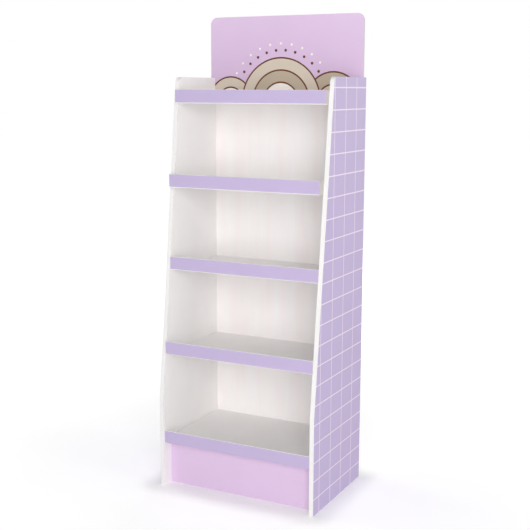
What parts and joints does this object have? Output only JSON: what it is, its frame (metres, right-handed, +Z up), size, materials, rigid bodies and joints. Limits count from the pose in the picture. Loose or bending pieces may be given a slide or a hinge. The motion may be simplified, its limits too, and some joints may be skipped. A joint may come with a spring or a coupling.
{
  "type": "cardboard display stand",
  "caption": "Free-standing floor display of printed board: tapering sides, lipped shelf trays, recessed plinth and an upright header card.",
  "frame": {"origin": "centre of the footprint on the floor", "axes": "+Z up, the shelves open towards -Y, +X to the right of a person facing the shelves from the front"},
  "size_m": [0.6, 0.404, 1.658],
  "materials": {
    "printed_side_board": "matt print with a pale grid, white edges and inner face",
    "white_board": "matt white liner",
    "printed_plinth_board": "matt pink-lilac print",
    "printed_header_card": "matt pink-lilac print",
    "tray_board": "matt white liner with a lilac printed lip"
  },
  "bodies": {
    "root": {"side_panel_left": "printed_side_board", "side_panel_right": "printed_side_board", "back_panel": "white_board", "plinth_panel": "printed_plinth_board", "header_card": "printed_header_card", "shelf_tray_1": "tray_board", "shelf_tray_2": "tray_board", "shelf_tray_3": "tray_board", "shelf_tray_4": "tray_board", "shelf_tray_5": "tray_board"}
  },
  "joints": []
}
